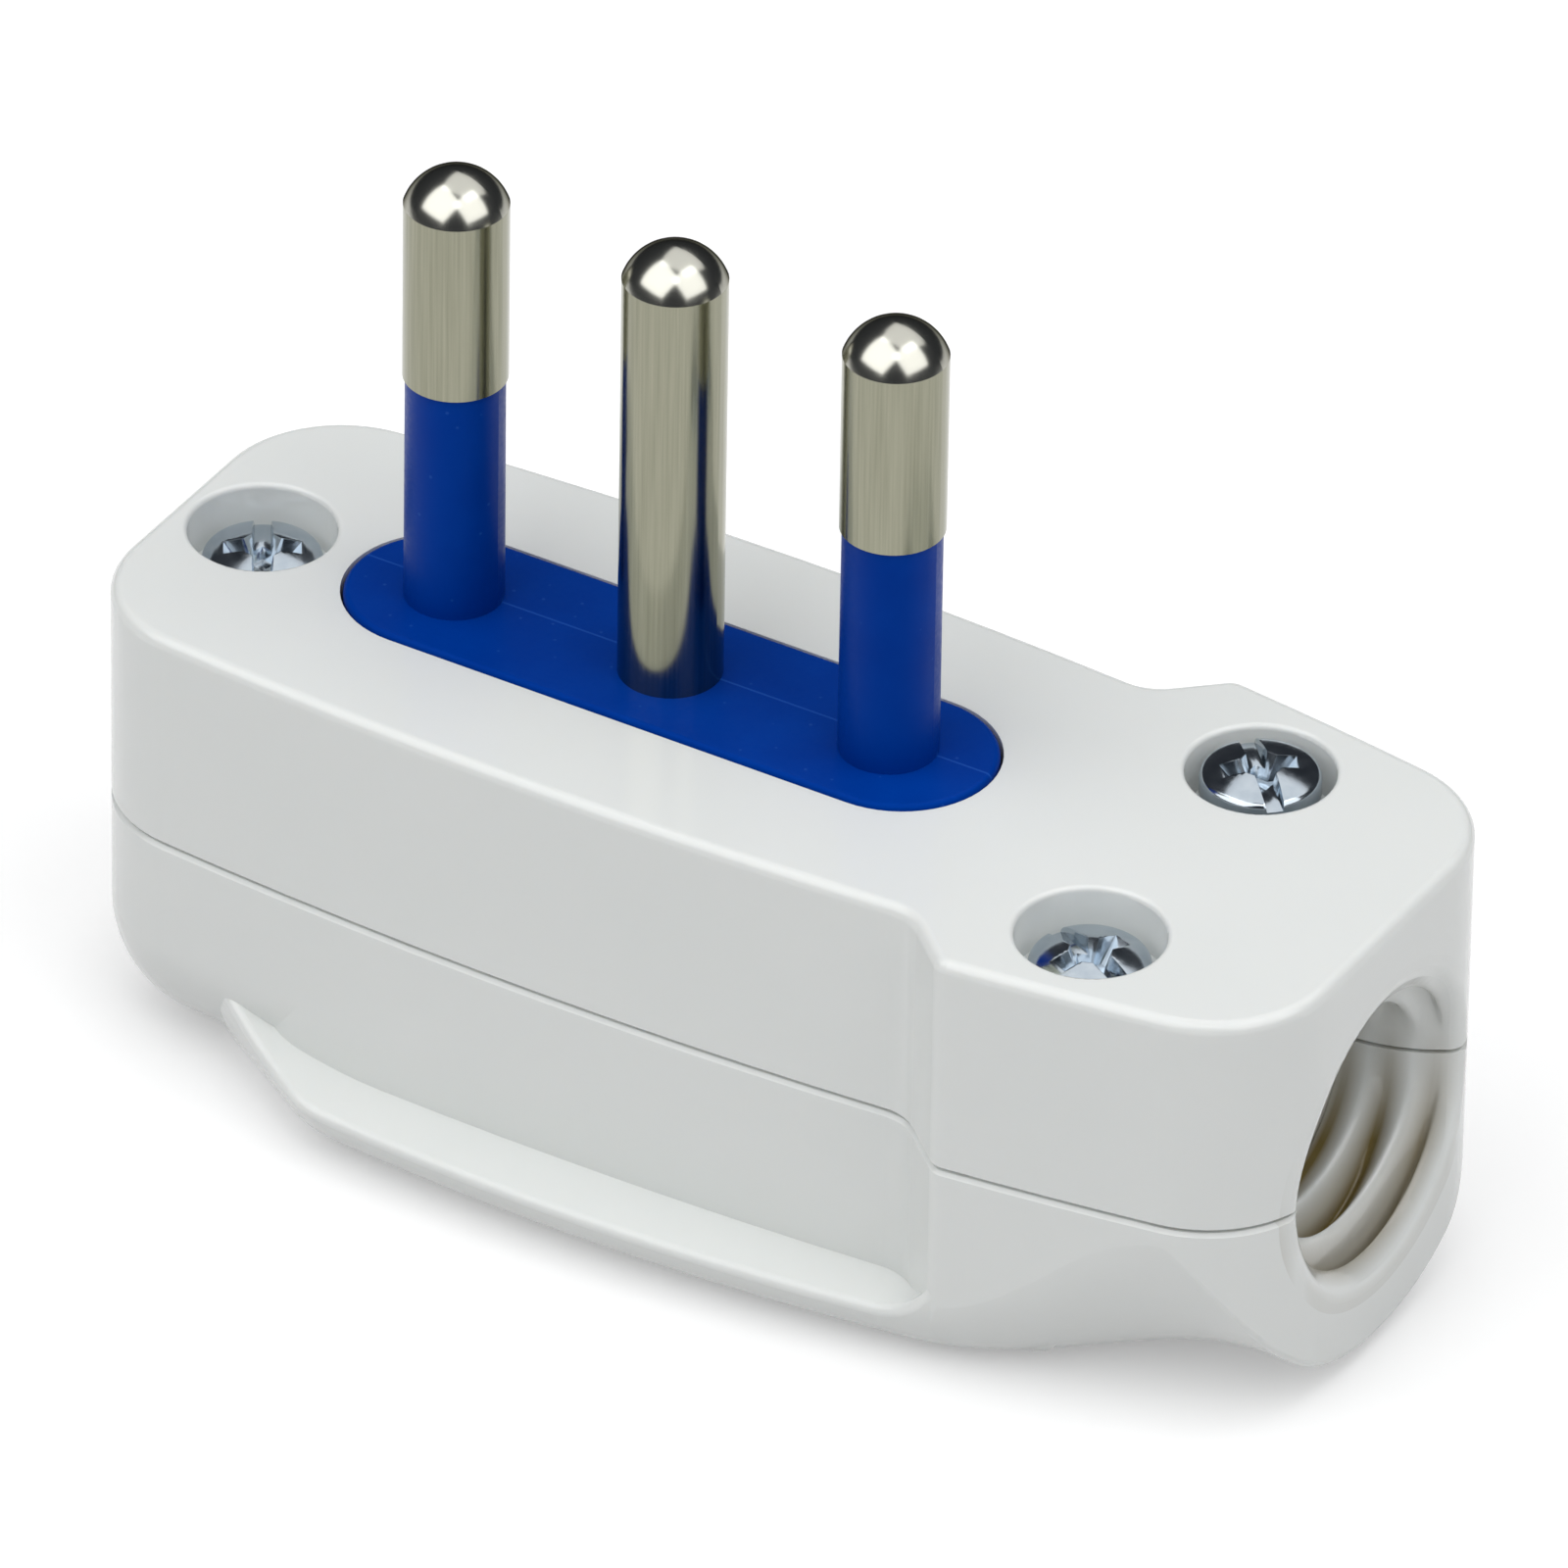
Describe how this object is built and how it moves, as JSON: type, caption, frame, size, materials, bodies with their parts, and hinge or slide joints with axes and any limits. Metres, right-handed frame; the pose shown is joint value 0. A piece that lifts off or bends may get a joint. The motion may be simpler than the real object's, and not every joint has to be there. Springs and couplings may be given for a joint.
{
  "type": "mains plug",
  "caption": "Flat rewirable mains plug with round pins in line on a blue insulating carrier, finger lips along its sides and a ringed cable entry at one end.",
  "frame": {"origin": "where the earth pin's axis crosses the engagement face, the white face the pins stand on", "axes": "+X along the plug to the cable entry, +Y across it, +Z along the pins out of the engagement face"},
  "size_m": [0.0528, 0.0242, 0.038],
  "materials": {
    "white_plastic": "moulded, fine satin gloss",
    "blue_plastic": "moulded, satin",
    "nickel_brass": "nickel plated, turned, with polished tips",
    "zinc_steel": "bright zinc plated"
  },
  "bodies": {
    "root": {"front_shell": "white_plastic", "rear_shell": "white_plastic", "pin_carrier": "blue_plastic", "line_pin": "nickel_brass", "neutral_pin": "nickel_brass", "earth_pin": "nickel_brass", "housing_screws": "zinc_steel", "terminal_screws": "zinc_steel"}
  },
  "joints": []
}
